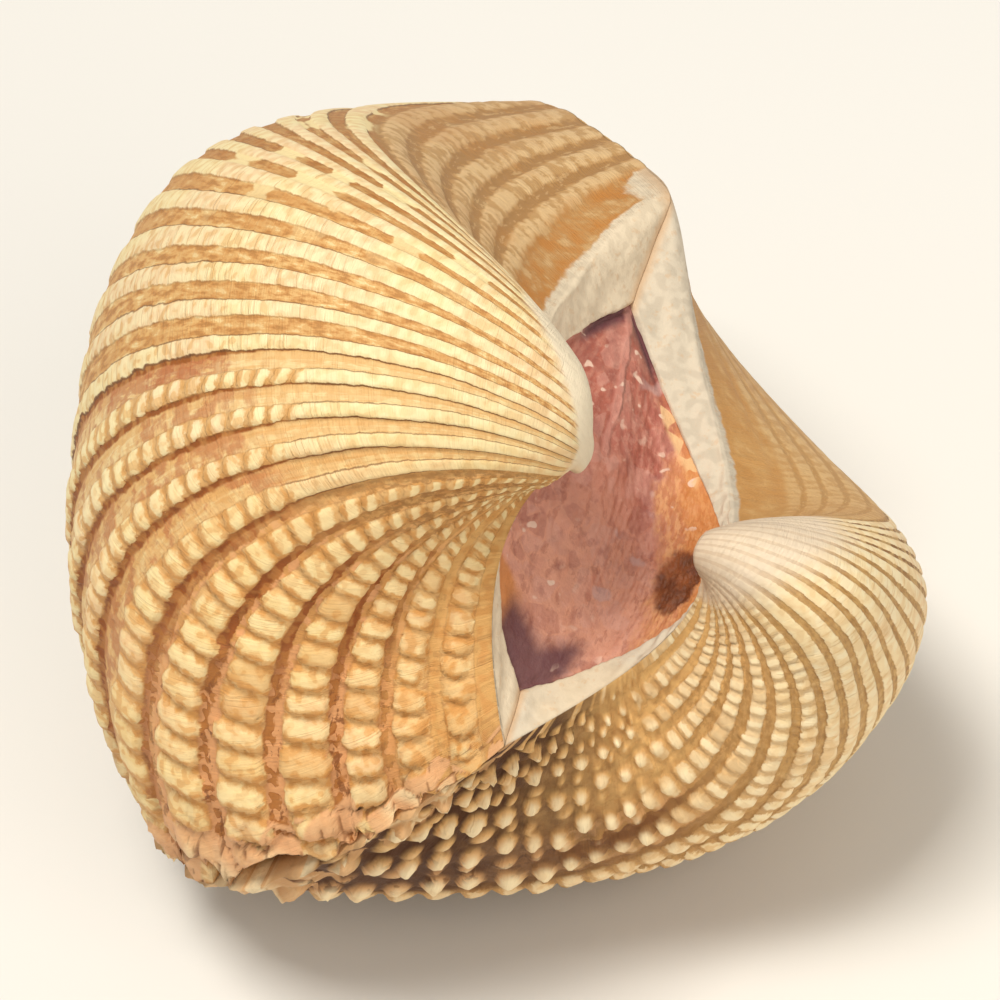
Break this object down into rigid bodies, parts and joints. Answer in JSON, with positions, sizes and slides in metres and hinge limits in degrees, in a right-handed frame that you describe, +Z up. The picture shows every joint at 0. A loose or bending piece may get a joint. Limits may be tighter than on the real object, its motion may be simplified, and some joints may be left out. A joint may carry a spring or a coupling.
{
  "type": "ark clam shell",
  "caption": "Closed ark clam shell with ribbed and beaded valves, inrolled beaks and a dark ligament between them, lying on one valve.",
  "frame": {"origin": "middle of the bottom face of the whole shell's box, on the surface that it lies on", "axes": "+Z up; +Y away from the side that shows both beaks; +X to the right when that side is seen from in front"},
  "size_m": [0.0474, 0.0576, 0.0481],
  "materials": {
    "right_valve_shell": "satin natural shell: cream ribs, rust brown grooves, chalky white at the beak",
    "left_valve_shell": "satin natural shell: cream ribs, olive brown grooves, pinkish white at the beak",
    "dried_ligament": "dried mauve brown ligament, dull, with pale specks"
  },
  "bodies": {
    "root": {"right_valve": "right_valve_shell", "left_valve": "left_valve_shell", "ligament": "dried_ligament"}
  },
  "joints": []
}
